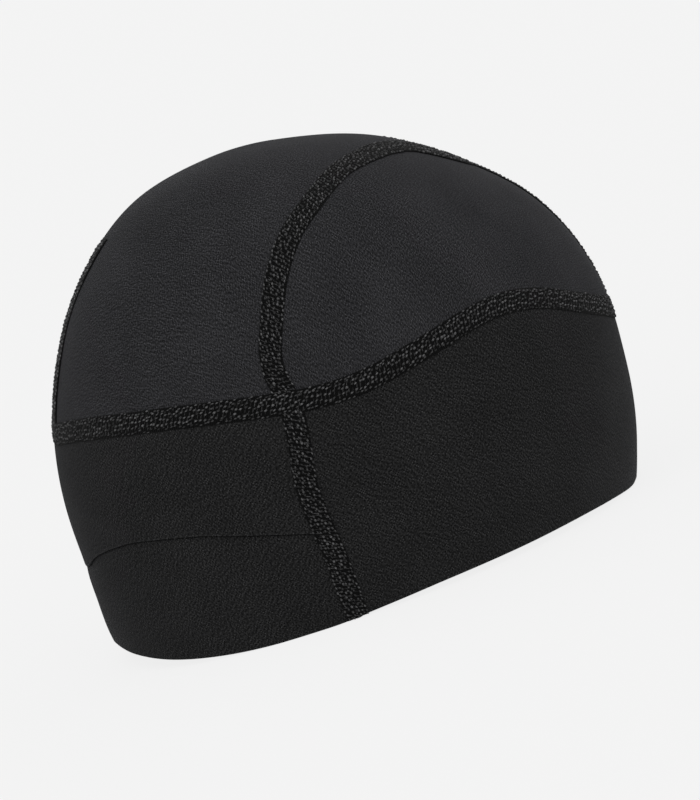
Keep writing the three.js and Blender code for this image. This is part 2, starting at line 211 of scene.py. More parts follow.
def wall_direction(azimuth, height):
    """Direction of the wall's point at a height."""
    azimuth, height = np.broadcast_arrays(np.asarray(azimuth, float), np.asarray(height, float))
    low, high = np.full(azimuth.shape, LOWEST_LIFT), np.full(azimuth.shape, HIGHEST_LIFT)
    lift = find_zero(lambda angle: form_point(direction(azimuth, angle))[..., 2] - height, low, high)
    return direction(azimuth, lift)


def turn_from_front(azimuth):
    """Azimuth from the front, 0 to 180, on either side."""
    turn = np.abs(azimuth) % 360
    return np.where(turn > 180, 360 - turn, turn)


def hem_height(azimuth):
    """Height of the hem."""
    turn = turn_from_front(azimuth)
    side = read_table(HEM_LINE, turn, 1) * HEM_SIDE_LIFT
    return np.maximum(0, side + read_table(HEM_LINE, turn, 2) * HEM_BACK_LIFT)


def band_seam_height(azimuth):
    """Height of the seam between crown and band."""
    return read_table(BAND_LINE, turn_from_front(azimuth)) * BAND_HEIGHT


def rear_edge_height(azimuth):
    """Height of the outer rear layer's free edge."""
    return read_table(REAR_EDGE_LINE, turn_from_front(azimuth)) * REAR_EDGE_HEIGHT


def ear_seam_azimuth(share):
    """Azimuth of the ear seam at a share of the band's height."""
    return EAR_AZIMUTH + EAR_SEAM_DRIFT * read_table(EAR_SEAM_LINE, share)


def lift_of(toward):
    """Lift of a direction, in degrees."""
    return np.degrees(np.arcsin(toward[..., 2]))


def mix(a, b, share):
    """Straight mix of two values."""
    return a + (b - a) * share


class Course:
    """A line on the form, in metres along it from its start."""

    def __init__(self, toward, closed=False):
        if closed:
            toward = np.concatenate([toward, toward[:1]])
        self.closed = closed
        self.points = form_point(toward)
        steps = np.linalg.norm(np.diff(self.points, axis=0), axis=1)
        self.along = np.concatenate([[0.0], np.cumsum(steps)])
        self.length = self.along[-1]
        self.normals = form_normal(toward)
        tangents = np.gradient(self.points, self.along, axis=0)
        if closed:
            tangents[0] = tangents[-1] = tangents[0] + tangents[-1]
        self.across = unit(np.cross(self.normals, tangents))

    def read(self, table, s):
        """Values of one of the course's tables at distances along it."""
        s = s % self.length if self.closed else np.clip(s, 0, self.length)
        return np.stack([np.interp(s, self.along, table[:, k]) for k in range(3)], axis=-1)

    def beside(self, s, offset):
        """Directions at distances along and offsets to the left of the course."""
        return direction_of(self.read(self.points, s) + self.read(self.across, s) * offset[..., None])

    def place(self, s, offset, height):
        """Points over the form at distances along, offsets and heights."""
        s, offset, height = np.broadcast_arrays(s, offset, height)
        return form_point(self.beside(s, offset)) + self.read(self.normals, s) * height[..., None]


def smooth_line(points, per_span):
    """Centripetal curve through points on the sphere of directions."""
    ends = np.concatenate([[2 * points[0] - points[1]], points, [2 * points[-1] - points[-2]]])
    t = np.linspace(0, 1, per_span, endpoint=False)[:, None]
    made = []
    for p0, p1, p2, p3 in zip(ends, ends[1:], ends[2:], ends[3:]):
        d0, d1, d2 = (np.linalg.norm(b - a) ** 0.5 for a, b in ((p0, p1), (p1, p2), (p2, p3)))
        start = ((p1 - p0) / d0 - (p2 - p0) / (d0 + d1) + (p2 - p1) / d1) * d1
        end = ((p2 - p1) / d1 - (p3 - p1) / (d1 + d2) + (p3 - p2) / d2) * d1
        made.append(p1 + start * t + (3 * (p2 - p1) - 2 * start - end) * t**2
                    + (2 * (p1 - p2) + start + end) * t**3)
    return unit(np.concatenate(made + [points[-1:]]))


def crown_seam_course():
    """The seam from the right ear over the crown point to the left ear."""
    ear_lift = lift_of(wall_direction(EAR_AZIMUTH, band_seam_height(EAR_AZIMUTH)))
    rows = np.array(CROWN_SEAM_ROWS)
    lifts = mix(ear_lift, CROWN_POINT_LIFT, rows[:, 1])
    right_half = direction(-rows[:, 0] * EAR_AZIMUTH, lifts)
    left_half = direction(rows[:, 0] * EAR_AZIMUTH, lifts)[::-1]
    return Course(smooth_line(np.concatenate([right_half, left_half[1:]]), SPAN_POINTS))


def band_seam_course():
    """The seam all round between crown and band, from the middle of the back."""
    azimuth = np.linspace(-180, 180, COURSE_POINTS, endpoint=False)
    return Course(wall_direction(azimuth, band_seam_height(azimuth)), closed=True)


def midline_course(azimuth, low, high):
    """Line up the middle of the front or of the back."""
    return Course(direction(np.full(COURSE_POINTS, azimuth), np.linspace(low, high, COURSE_POINTS)))


def crown_front_course():
    """The seam from the band up the forehead to the crown point."""
    foot = lift_of(wall_direction(0.0, band_seam_height(0.0)))
    return midline_course(0.0, foot, CROWN_POINT_LIFT)


def dart_course():
    """The seam up the middle of the back."""
    tip_height = mix(band_seam_height(180.0), CAP_HEIGHT, DART_SHARE)
    foot = lift_of(wall_direction(180.0, band_seam_height(180.0)))
    return midline_course(180.0, foot, lift_of(wall_direction(180.0, tip_height)))


def ear_course(side):
    """The seam from the band seam down to the hem, behind an ear."""
    share = np.linspace(1, 0, COURSE_POINTS)
    azimuth = ear_seam_azimuth(share)
    height = mix(hem_height(azimuth), band_seam_height(azimuth), share)
    return Course(wall_direction(side * azimuth, height))


# Fineness of the cloth and seam meshes
CROWN_REAR_STEPS = (150, 84)
CROWN_FRONT_STEPS = (76, 44)
BAND_FRONT_STEPS = (180, 44)
BAND_REAR_STEPS = (124, 28)
EDGE_STEPS = 4
STRIP_STEP = 0.0014
STITCH_RINGS = 5
STITCH_SIDES = 5
MERGE_DISTANCE = 1e-6

# Free edge at the back: share of the layer's thickness left there, and how far up it grows to the whole
FREE_EDGE_SHARE = 0.5
FREE_EDGE_TAPER = 0.005

# Cloth coordinates: millimetres in a metre, and in millimetres the distance from a cut edge where none is,
# how far the underside of an edge counts as below it and so takes the painted shade, and where the rear's
# columns start
MILLIMETRES = 1000.0
NO_CUT_EDGE = 99.0
UNDERSIDE_INTO_PAINTED_SHADE = 0.3
REAR_WEAVE_START = 500.0

# Slow waves in the cloth: pairs of sines, each with its radians per metre along x, y and z and its start
SLOW_WAVES = (
    ((118.0, 0.0, 60.0, 0.7), (-40.0, 96.0, 0.0, 1.9)),
    ((0.0, 75.0, 170.0, 0.0), (64.0, 0.0, -52.0, 0.4)),
)


def settings():
    """The sizes and colours that the panel shows."""
    return bpy.context.scene.liner_cap


def make_mesh(name, vertices, faces, weave, slots=None):
    """Closed smooth mesh as a new object. The weave holds the cloth's own coordinates, in millimetres."""
    mesh = bpy.data.meshes.new(name)
    mesh.from_pydata(vertices.reshape(-1, 3).tolist(), [], faces)
    layer = mesh.attributes.new("weave", "FLOAT_VECTOR", "POINT")
    layer.data.foreach_set("vector", np.ascontiguousarray(weave, np.float32).ravel())
    if slots is not None:
        mesh.polygons.foreach_set("material_index", np.asarray(slots, np.int32))
    work = bmesh.new()
    work.from_mesh(mesh)
    bmesh.ops.remove_doubles(work, verts=work.verts, dist=MERGE_DISTANCE)
    bmesh.ops.dissolve_degenerate(work, edges=work.edges, dist=MERGE_DISTANCE)
    bmesh.ops.recalc_face_normals(work, faces=work.faces)
    work.to_mesh(mesh)
    work.free()
    mesh.polygons.foreach_set("use_smooth", np.ones(len(mesh.polygons), bool))
    made = bpy.data.objects.new(name, mesh)
    bpy.context.scene.collection.objects.link(made)
    return made


def dress(piece, node, slot, *materials):
    """Puts a piece in a node's place with its materials."""
    for material in materials:
        piece.data.materials.append(material)
    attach(piece, "root")
    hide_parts(node)


def tube_faces(rings, sides, closed=False):
    """Quads of a tube whose vertices are given ring by ring."""
    i, j = np.meshgrid(np.arange(rings if closed else rings - 1), np.arange(sides), indexing="ij")
    ahead, beside = (i + 1) % rings, (j + 1) % sides
    here, there = i * sides, ahead * sides
    return np.stack([here + j, here + beside, there + beside, there + j], axis=-1).reshape(-1, 4).tolist()


def undulation(points):
    """Slow unevenness of taut cloth, between -1 and 1."""
    sines = [[np.sin(points @ np.array(wave[:3]) + wave[3]) for wave in pair] for pair in SLOW_WAVES]
    return sum(first * second for first, second in sines) / len(SLOW_WAVES)


def square_share(toward):
    """How far the cloth's thickness has turned from level at the hem to square at the band seam."""
    height = form_point(toward)[..., 2]
    azimuth = np.degrees(np.arctan2(toward[..., 1], toward[..., 0]))
    low, high = hem_height(azimuth), band_seam_height(azimuth)
    return np.clip((height - low) / (high - low), 0, 1)


def rounded_edge(first, last, outward):
    """Half round between the outer and the inner edge of the cloth."""
    angle = np.linspace(0, math.pi, EDGE_STEPS + 1)[1:-1, None]
    middle, arm = (first + last)[:, None] / 2, (first - last)[:, None] / 2
    radius = np.linalg.norm(arm, axis=-1, keepdims=True)
    return middle + arm * np.cos(angle) + unit(outward)[:, None] * radius * np.sin(angle)


def cloth_panel(name, toward, weave, thickness, depth=0.0, level_hem=False):
    """Panel of cloth with rounded edges over a grid of directions indexed [along][across]."""
    normal = form_normal(toward)
    slack = (undulation(form_point(toward)) - 1) * settings().unevenness
    outer = form_point(toward) + normal * (slack - depth)[..., None]
    inward = -normal
    if level_hem:
        level = -unit(normal * np.array([1.0, 1.0, 0.0]))
        inward = unit(mix(level, inward, square_share(toward)[..., None]))
    inner = outer + inward * np.broadcast_to(thickness, normal.shape[:2])[..., None]
    top = rounded_edge(outer[:, -1], inner[:, -1], outer[:, -1] - outer[:, -2])
    foot = rounded_edge(inner[:, 0], outer[:, 0], outer[:, 0] - outer[:, 1])
    points = np.concatenate([outer, top, inner[:, ::-1], foot], axis=1)
    top_weave = np.repeat(weave[:, -1:], EDGE_STEPS - 1, axis=1)
    # The foot's underside counts as lying below the cut edge, so that it takes the painted shade
    foot_weave = np.repeat(weave[:, :1], EDGE_STEPS - 1, axis=1) - np.array([0, 0, UNDERSIDE_INTO_PAINTED_SHADE])
    weaves = np.concatenate([weave, top_weave, weave[:, ::-1], foot_weave], axis=1)
    rings, sides = points.shape[:2]
    count = outer.shape[1]
    ends = []
    for base in (0, (rings - 1) * sides):
        ends += [[base + j, base + j + 1, base + sides - EDGE_STEPS - j, base + sides - EDGE_STEPS + 1 - j]
                 for j in range(count - 1)]
        ends.append([base + count - 1 + j for j in range(EDGE_STEPS + 1)])
        ends.append([base + (sides - EDGE_STEPS + j) % sides for j in range(EDGE_STEPS + 1)])
    return make_mesh(name, points, tube_faces(rings, sides) + ends, weaves)


def crown_weave(toward):
    """Cloth coordinates on the crown, measured out from its top."""
    point = form_point(toward)
    turn = np.arccos(np.clip(toward[..., 2], -1, 1))
    spread = turn / np.maximum(np.sin(turn), SMALL_TURN)
    flat = point[..., :2] * spread[..., None] * MILLIMETRES
    return np.concatenate([flat, np.full(flat.shape[:2] + (1,), NO_CUT_EDGE)], axis=-1)


def band_weave(toward, facing=1, from_edge=None):
    """Cloth coordinates on the band: round the cap from its middle, up it, and away from a cut edge."""
    height = form_point(toward)[..., 2] * MILLIMETRES
    turn = np.arctan2(toward[..., 1], toward[..., 0] * facing)
    radius = (CAP_LENGTH + CAP_BREADTH) / 4 * MILLIMETRES
    if from_edge is None:
        from_edge = np.full(turn.shape, NO_CUT_EDGE)
    start = 0.0 if facing > 0 else REAR_WEAVE_START
    return np.stack([turn * radius + start, height, from_edge], axis=-1)


def arc_grid(low, high, steps):
    """Directions on great arcs from a low edge to a high edge."""
    share = np.linspace(0, 1, steps + 1)[None, :, None]
    angle = np.arccos(np.clip((low * high).sum(-1), -1, 1))[:, None, None]
    angle = np.maximum(angle, TINY)
    blend = low[:, None] * np.sin((1 - share) * angle) + high[:, None] * np.sin(share * angle)
    return unit(blend)


def build_crown():
    """The rear panel over the top and the two front panels."""
    seam = crown_seam_course()
    cloth = crown_cloth()
    share = np.linspace(0, 1, CROWN_REAR_STEPS[0] + 1)
    azimuth = mix(EAR_AZIMUTH, 360 - EAR_AZIMUTH, share)
    low = wall_direction(azimuth, band_seam_height(azimuth))
    high = seam.beside(seam.length * (1 - share), np.zeros(len(share)))
    grid = arc_grid(low, high, CROWN_REAR_STEPS[1])
    rear = cloth_panel("crown_rear_cloth", grid, crown_weave(grid), settings().crown_thickness)
    dress(rear, "crown_rear", "crown_cloth", cloth)
    share = np.linspace(0, 1, CROWN_FRONT_STEPS[0] + 1)
    azimuth = -EAR_AZIMUTH * (1 - share)
    low = wall_direction(azimuth, band_seam_height(azimuth))
    high = seam.beside(seam.length / 2 * share, np.zeros(len(share)))
    grid = arc_grid(low, high, CROWN_FRONT_STEPS[1])
    for side, node in ((1, "crown_front_right"), (-1, "crown_front_left")):
        toward = grid * np.array([1.0, side, 1.0])
        front = cloth_panel(f"{node}_cloth", toward, crown_weave(toward), settings().crown_thickness)
        dress(front, node, "crown_cloth", cloth)


def band_grid(first, last, low, high, steps):
    """Directions over a part of the band: heights by azimuth, ends by the share of the band's height."""
    along = np.linspace(0, 1, steps[0] + 1)[:, None]
    up = np.linspace(0, 1, steps[1] + 1)[None, :]
    guess = mix(first(up), last(up), along)
    height = mix(low(guess), high(guess), up)
    share = (height - hem_height(guess)) / (band_seam_height(guess) - hem_height(guess))
    azimuth = mix(first(share), last(share), along)
    return wall_direction(azimuth, mix(low(azimuth), high(azimuth), up)), azimuth


def build_band():
    """The doubled front of the band and the two layers at the back."""
    chosen = settings()
    cloth = band_cloth()
    fold = chosen.band_thickness / 2
    grid, _ = band_grid(lambda share: -ear_seam_azimuth(share), ear_seam_azimuth,
                        lambda azimuth: hem_height(azimuth) + fold, band_seam_height, BAND_FRONT_STEPS)
    front = cloth_panel("band_front_cloth", grid, band_weave(grid), chosen.band_thickness, level_hem=True)
    dress(front, "band_front", "band_cloth", cloth)

    def far_seam_azimuth(share):
        """Azimuth of the other ear seam, counted on round the back."""
        return 360 - ear_seam_azimuth(share)

    def outer_thickness(above):
        """Thickness of the outer layer, pressed thin at its free edge."""
        return chosen.layer_thickness * mix(FREE_EDGE_SHARE, 1.0, smooth_share(above, 0, FREE_EDGE_TAPER))

    grid, azimuth = band_grid(ear_seam_azimuth, far_seam_azimuth, rear_edge_height, band_seam_height,
                              BAND_REAR_STEPS)
    above = form_point(grid)[..., 2] - rear_edge_height(azimuth)
    # Height over the free edge: the outer layer is painted lighter just above it and painted darker on its
    # underside
    weave = band_weave(grid, -1, above * MILLIMETRES)
    outer = cloth_panel("band_rear_outer_cloth", grid, weave, outer_thickness(above))
    dress(outer, "band_rear_outer", "band_cloth", cloth)

    edge = chosen.layer_thickness / 2
    grid, azimuth = band_grid(ear_seam_azimuth, far_seam_azimuth,
                              lambda azimuth: hem_height(azimuth) + edge,
                              lambda azimuth: rear_edge_height(azimuth) + REAR_OVERLAP, BAND_REAR_STEPS)
    above = form_point(grid)[..., 2] - rear_edge_height(azimuth)
    depth = (outer_thickness(above) + chosen.layer_gap) * (1 - smooth_share(-above, 0, REAR_EASE))
    # Height over the free edge: the inner layer is painted darker just below the outer layer's free edge,
    # as painted shade
    weave = band_weave(grid, -1, above * MILLIMETRES)
    inner = cloth_panel("band_rear_inner_cloth", grid, weave, chosen.layer_thickness, depth, True)
    dress(inner, "band_rear_inner", "band_cloth", cloth)


# Section of a seam's strip: share of its width, and height over the cloth as a share of the seam's height
STRIP_TOP = (
    (-0.5, -0.4), (-0.5, 0.4), (-0.46, 0.72), (-0.3, 0.86), (0.0, 0.9), (0.3, 0.86), (0.46, 0.72),
    (0.5, 0.4), (0.5, -0.4),
)

# The same on the inside of the cap, with heights below the inner face
STRIP_BACK = ((0.5, 0.05), (0.42, 0.4), (0.0, 0.55), (-0.42, 0.4), (-0.5, 0.05))

# Stitches in one pitch: start and end along it and across it, rise, thickness share and lightness share;
# the lightness is painted light, higher on the raised rows and lower on the flat ones
WIDE_STITCHES = (
    (0.12, -0.44, 0.88, -0.4, 0.3, 1.2, 0.9), (0.62, -0.17, 1.38, -0.11, 0.45, 1.35, 1.0),
    (0.12, 0.12, 0.88, 0.17, 0.45, 1.35, 1.0), (0.62, 0.39, 1.38, 0.44, 0.3, 1.2, 0.9),
    (0.2, -0.31, 0.75, -0.25, 0.2, 1.05, 0.6), (0.65, -0.02, 1.2, 0.04, 0.25, 1.05, 0.65),
    (0.15, 0.25, 0.7, 0.31, 0.2, 1.05, 0.6), (0.5, -0.42, 1.0, -0.14, 0.0, 0.8, 0.4),
    (1.0, -0.14, 1.5, 0.14, 0.0, 0.8, 0.4), (0.5, 0.14, 1.0, 0.42, 0.0, 0.8, 0.4),
)
BRAID_STITCHES = (
    (0.05, -0.42, 0.85, -0.38, 0.25, 1.05, 0.6), (0.0, -0.25, 0.8, -0.18, 0.45, 1.3, 1.0),
    (0.5, 0.0, 1.3, 0.06, 0.5, 1.35, 1.0), (0.05, 0.22, 0.85, 0.28, 0.45, 1.25, 0.9),
    (0.5, 0.4, 1.3, 0.44, 0.3, 1.1, 0.8), (0.3, -0.36, 0.5, -0.2, 0.0, 0.8, 0.4),
    (0.55, -0.2, 0.9, 0.02, 0.0, 0.8, 0.35), (0.85, 0.04, 1.15, 0.24, 0.0, 0.8, 0.4),
    (0.4, 0.24, 0.65, 0.4, 0.0, 0.8, 0.4),
)

# Spread of the seams near the crown point, by place along them: shares of the width on their right and left
CROWN_SEAM_HALF_SPREAD = (
    (0, 1, 1), (0.25, 1, 1), (0.29, 1.08, 1), (0.35, 1.42, 1.05), (0.4, 1.5, 1.3), (0.45, 1.4, 1.5),
)
CROWN_SEAM_SPREAD = (
    CROWN_SEAM_HALF_SPREAD + ((0.5, 1.4, 1.5),)
    + tuple((1 - place, right, left) for place, right, left in reversed(CROWN_SEAM_HALF_SPREAD))
)
CROWN_FRONT_SPREAD = ((0, 1, 1), (0.45, 1, 1), (0.7, 1.3, 1.3), (1, 1.4, 1.4))

# Height of the band's flat seam, as a share of the others'
BAND_SEAM_SHARE = 0.5

# Unevenness of the stitches: of their place and size, and across the seam as a share of that
IRREGULARITY = 0.24
IRREGULARITY_ACROSS = 0.3
LEAST_TONE = 0.2

# A stitch at its ends: height as a share of the seam's, then thickness and tone as shares of the stitch's;
# the darker tone at the ends is painted shade, and the crown between them carries a painted highlight
STITCH_FOOT = 0.72
STITCH_END_THICKNESS = 0.55
STITCH_END_SHADE = 0.2

# Ends of the seams: length, height and reach of what passes under another seam, and the gap at the hem
TUCK_LENGTH = 0.003
TUCK_HEIGHT = 0.45
TUCK_UNDER = 0.0012
HEM_TRIM = 0.0004


def spread_offset(course, s, offset, spread):
    """Offsets across a seam whose width changes along its course."""
    if spread is None:
        return offset
    share = s / course.length
    return offset * np.where(offset < 0, read_table(spread, share, 1), read_table(spread, share, 2))


def strip_parts(course, start, end, cloth_depth, sink, spread):
    """Vertices, faces and weave of the flat strip along a seam."""
    chosen = settings()
    width, height = chosen.seam_width, chosen.seam_height
    steps = max(2, round((end - start) / STRIP_STEP))
    s = np.linspace(start, end, steps + 1)
    if course.closed:
        s = s[:-1]
    offsets = np.array([row[0] for row in STRIP_TOP + STRIP_BACK]) * width
    tops = np.array([row[1] for row in STRIP_TOP]) * height
    backs = -cloth_depth - np.array([row[1] for row in STRIP_BACK]) * height
    eased = sink(s)[:, None]
    heights = np.concatenate([tops * eased, backs + 0 * eased], axis=1)
    along, beside = np.meshgrid(s, offsets, indexing="ij")
    beside = spread_offset(course, along, beside, spread)
    points = course.place(along, beside, heights)
    rings, sides = points.shape[:2]
    faces = tube_faces(rings, sides, course.closed)
    if not course.closed:
        faces.append(list(range(sides)))
        faces.append(list(range((rings - 1) * sides, rings * sides)))
    weave = np.stack([along, beside, 0 * along], axis=-1) * MILLIMETRES
    return points.reshape(-1, 3), faces, weave.reshape(-1, 3)


def stitch_parts(course, start, end, table, sink, seed, spread):
    """Vertices, faces and weave of the threads over a seam."""
    chosen = settings()
    random = np.random.default_rng(seed)
    count = max(1, round((end - start) / chosen.stitch_pitch))
    pitch = (end - start) / count
    rows = np.array(table)

    def wobble(scale):
        """Chance values for all stitches."""
        return random.uniform(-scale, scale, (count, len(rows)))

    base = (np.arange(count)[:, None] + wobble(IRREGULARITY)) * pitch + start
    size = 1 + wobble(IRREGULARITY)
    aside = wobble(IRREGULARITY * IRREGULARITY_ACROSS) * chosen.seam_width
    # Each stitch's tone is random, times its row's lightness, which is painted light: raised rows lighter
    tone = random.uniform(LEAST_TONE, 1, (count, len(rows))) * rows[:, 6]
    t = np.linspace(0, 1, STITCH_RINGS)
    arch = np.sin(math.pi * t)
    s = base[..., None] + mix(rows[:, 0, None], rows[:, 2, None], t) * pitch
    o = mix(rows[:, 1, None], rows[:, 3, None], t) * chosen.seam_width + aside[..., None]
    h = (STITCH_FOOT + rows[:, 4, None] * arch) * chosen.seam_height
    thick = chosen.thread_thickness / 2 * rows[:, 5, None] * mix(STITCH_END_THICKNESS, 1.0, arch)
    radius = thick * size[..., None]
    if not course.closed:
        s = np.clip(s, start, end)
    run = unit((rows[:, 2:4] - rows[:, 0:2]) * np.array([pitch, chosen.seam_width]))
    angle = np.arange(STITCH_SIDES) * 2 * math.pi / STITCH_SIDES
    side, up = np.cos(angle), np.sin(angle)
    s = s[..., None] - run[:, 1, None, None] * side * radius[..., None]
    o = o[..., None] + run[:, 0, None, None] * side * radius[..., None]
    h = (h * sink(s[..., 0]))[..., None] + up * radius[..., None]
    o = spread_offset(course, s, o, spread)
    points = course.place(s, o, h).reshape(-1, 3)
    one = np.array(tube_faces(STITCH_RINGS, STITCH_SIDES))
    size_of_one = STITCH_RINGS * STITCH_SIDES
    stitches = count * len(rows)
    first = np.arange(stitches)[:, None, None] * size_of_one
    faces = (one[None] + first).reshape(-1, 4).tolist()
    caps = np.stack([np.arange(STITCH_SIDES)[::-1], np.arange(STITCH_SIDES) + size_of_one - STITCH_SIDES])
    faces += (caps[None] + first).reshape(-1, STITCH_SIDES).tolist()
    # Along each stitch: painted highlight on its crown, painted shade where its ends go down into the seam
    stitch_tone_and_painted_light = np.broadcast_to((tone[..., None] * mix(STITCH_END_SHADE, 1.0, arch**2))[..., None], s.shape)
    weave = np.stack([s * MILLIMETRES, o * MILLIMETRES, stitch_tone_and_painted_light], axis=-1)
    return points, faces, weave.reshape(-1, 3)


def build_seam(node, course, trim, cloth_depth, table, seed, tuck=(True, True), spread=None):
    """One raised flat seam. The trim is how far its ends stop short of the course's own."""
    start, end = (0.0, course.length) if course.closed else (trim[0], course.length - trim[1])

    def sink(s):
        """Share of the full height: less where an end passes under another seam."""
        if course.closed:
            return np.full_like(s, BAND_SEAM_SHARE)
        low = smooth_share(s, start, start + TUCK_LENGTH) if tuck[0] else 1.0
        high = smooth_share(s, end, end - TUCK_LENGTH) if tuck[1] else 1.0
        return mix(TUCK_HEIGHT, 1.0, low * high + 0 * s)

    strip, strip_faces, strip_weave = strip_parts(course, start, end, cloth_depth, sink, spread)
    threads, thread_faces, thread_weave = stitch_parts(course, start, end, table, sink, seed, spread)
    faces = strip_faces + [[k + len(strip) for k in face] for face in thread_faces]
    slots = [0] * len(strip_faces) + [1] * len(thread_faces)
    piece = make_mesh(f"{node}_stitched", np.concatenate([strip, threads]), faces,
                      np.concatenate([strip_weave, thread_weave]), slots)
    dress(piece, node, "seam_thread", binding_painted_shade_cloth(), seam_thread())


def build_seams():
    """The raised flat seams."""
    chosen = settings()
    under = chosen.seam_width / 2 - TUCK_UNDER
    crown, band = chosen.crown_thickness, chosen.band_thickness
    build_seam("seam_crown", crown_seam_course(), (under, under), crown, WIDE_STITCHES, 1,
               spread=CROWN_SEAM_SPREAD)
    build_seam("seam_crown_front", crown_front_course(), (under, under), crown, WIDE_STITCHES, 2,
               spread=CROWN_FRONT_SPREAD)
    build_seam("seam_dart", dart_course(), (under, 0.0), crown, WIDE_STITCHES, 3)
    build_seam("seam_band", band_seam_course(), (0.0, 0.0), band, BRAID_STITCHES, 4)
    for side, name, seed in ((-1, "right", 5), (1, "left", 6)):
        build_seam(f"seam_ear_{name}", ear_course(side), (under, HEM_TRIM), band, WIDE_STITCHES, seed,
                   (True, False))


class Value:
    """A shader value that Python's operators work on, adding Math nodes."""

    def __init__(self, shader, socket):
        self.shader = shader
        self.socket = socket

    def math(self, operation, *values):
        """One Math node over this and other values."""
        return self.shader.math(operation, self, *values)

    def __add__(self, other):
        return self.math("ADD", other)

    __radd__ = __add__

    def __mul__(self, other):
        return self.math("MULTIPLY", other)

    __rmul__ = __mul__

    def __sub__(self, other):
        return self.math("SUBTRACT", other)

    def __rsub__(self, other):
        return self.shader.math("SUBTRACT", other, self)

    def __truediv__(self, other):
        return self.math("DIVIDE", other)

    def __abs__(self):
        return self.math("ABSOLUTE")


class Shader:
    """One material, built from nodes."""

    def __init__(self, name):
        self.material = bpy.data.materials.new(name)
        self.material.use_nodes = True
        self.tree = self.material.node_tree
        self.tree.nodes.clear()

    def add(self, kind, setup=None, values=None):
        """Adds a node: its settings first, then the values or links of its sockets by name or number."""
        node = self.tree.nodes.new(kind)
        for key, value in (setup or {}).items():
            setattr(node, key, value)
        for key, value in (values or {}).items():
            socket = self.find(node.inputs, key)
            if isinstance(value, Value):
                self.tree.links.new(value.socket, socket)
            else:
                socket.default_value = value
        return node

    @staticmethod
    def find(sockets, key):
        """One of a node's sockets by number, identifier or name."""
        if isinstance(key, int):
            return sockets[key]
        return next(socket for socket in sockets if key in (socket.identifier, socket.name))

    def out(self, node, key=0):
        """A node's output as a value."""
        return Value(self, self.find(node.outputs, key))

    def math(self, operation, *values):
        """A Math node as a value."""
        return self.out(self.add("ShaderNodeMath", {"operation": operation}, dict(enumerate(values))))

    def blend(self, share, low, high):
        """A mix of two colours."""
        node = self.add("ShaderNodeMix", {"data_type": "RGBA"},
                        {"Factor_Float": share, "A_Color": low, "B_Color": high})
        return self.out(node, "Result_Color")

    def noise(self, vector, scale, detail=2.0):
        """Soft noise from 0 to 1."""
        node = self.add("ShaderNodeTexNoise", {}, {"Vector": vector, "Scale": scale, "Detail": detail})
        return self.out(node, 0)

    def random(self, vector):
        """Chance value from 0 to 1 for each whole place."""
        node = self.add("ShaderNodeTexWhiteNoise", {"noise_dimensions": "3D"}, {"Vector": vector})
        return self.out(node, "Value")

    def weave(self):
        """The cloth's own coordinates, in millimetres: the whole vector, then its parts."""
        node = self.add("ShaderNodeAttribute", {"attribute_name": "weave"})
        vector = self.out(node, "Vector")
        parts = self.add("ShaderNodeSeparateXYZ", {}, {0: vector})
        return vector, self.out(parts, 0), self.out(parts, 1), self.out(parts, 2)

    def finish(self, colour, roughness, height, depth, sheen, sheen_roughness, specular, tint):
        """The surface itself, with its relief."""
        bump = self.add("ShaderNodeBump", {}, {"Strength": 1.0, "Distance": depth, "Height": height})
        surface = self.add("ShaderNodeBsdfPrincipled", {}, {
            "Base Color": colour,
            "Roughness": roughness,
            "Normal": self.out(bump),
            "Sheen Weight": sheen,
            "Sheen Roughness": sheen_roughness,
            "Sheen Tint": tint,
            "Specular IOR Level": specular,
        })
        self.add("ShaderNodeOutputMaterial", {}, {"Surface": self.out(surface)})
        return self.material


def grey(colour, share):
    """A colour at a share of its brightness."""
    return tuple(part * share for part in colour[:3]) + (1.0,)


WHITE = (1.0, 1.0, 1.0, 1.0)
COOL_TINT = (0.9, 0.92, 1.0, 1.0)

# Tone of the knit between its darkest and its lightest: shares of what makes it up, and its base; the
# loops' share is painted light, lighter on their crowns and painted shade in the dips between them
LOOP_CROWN_LIGHT = 0.25
FUZZ_SHARE = 0.1
PATCH_SHARE = 0.15
TONE_BASE = 0.245
DARKEST_YARN = 0.05
LIGHTEST_YARN = 4.0

# Noise per millimetre: fuzz of the yarn, and slow patches
FUZZ_SCALE = 2.4
PATCH_SCALE = 0.045

# Width in millimetres of the painted highlight along a cut edge and of the painted shade beneath it, with
# their strengths
PAINTED_EDGE_WIDTH = 0.8
PAINTED_EDGE_CONTRAST = 0.26
PAINTED_EDGE_SHADE = 0.14

# Where the band is palest, at the middle of the front hem: reach along it and up it, in millimetres
PALE_HEM_LENGTH = 95.0
PALE_HEM_HEIGHT = 60.0

# Ribs of the binding and plies of the thread, in radians per millimetre, and the slant of the plies
RIB_RATE = 8.4
PLY_RATE = 21.0
PLY_SLANT = 1.7


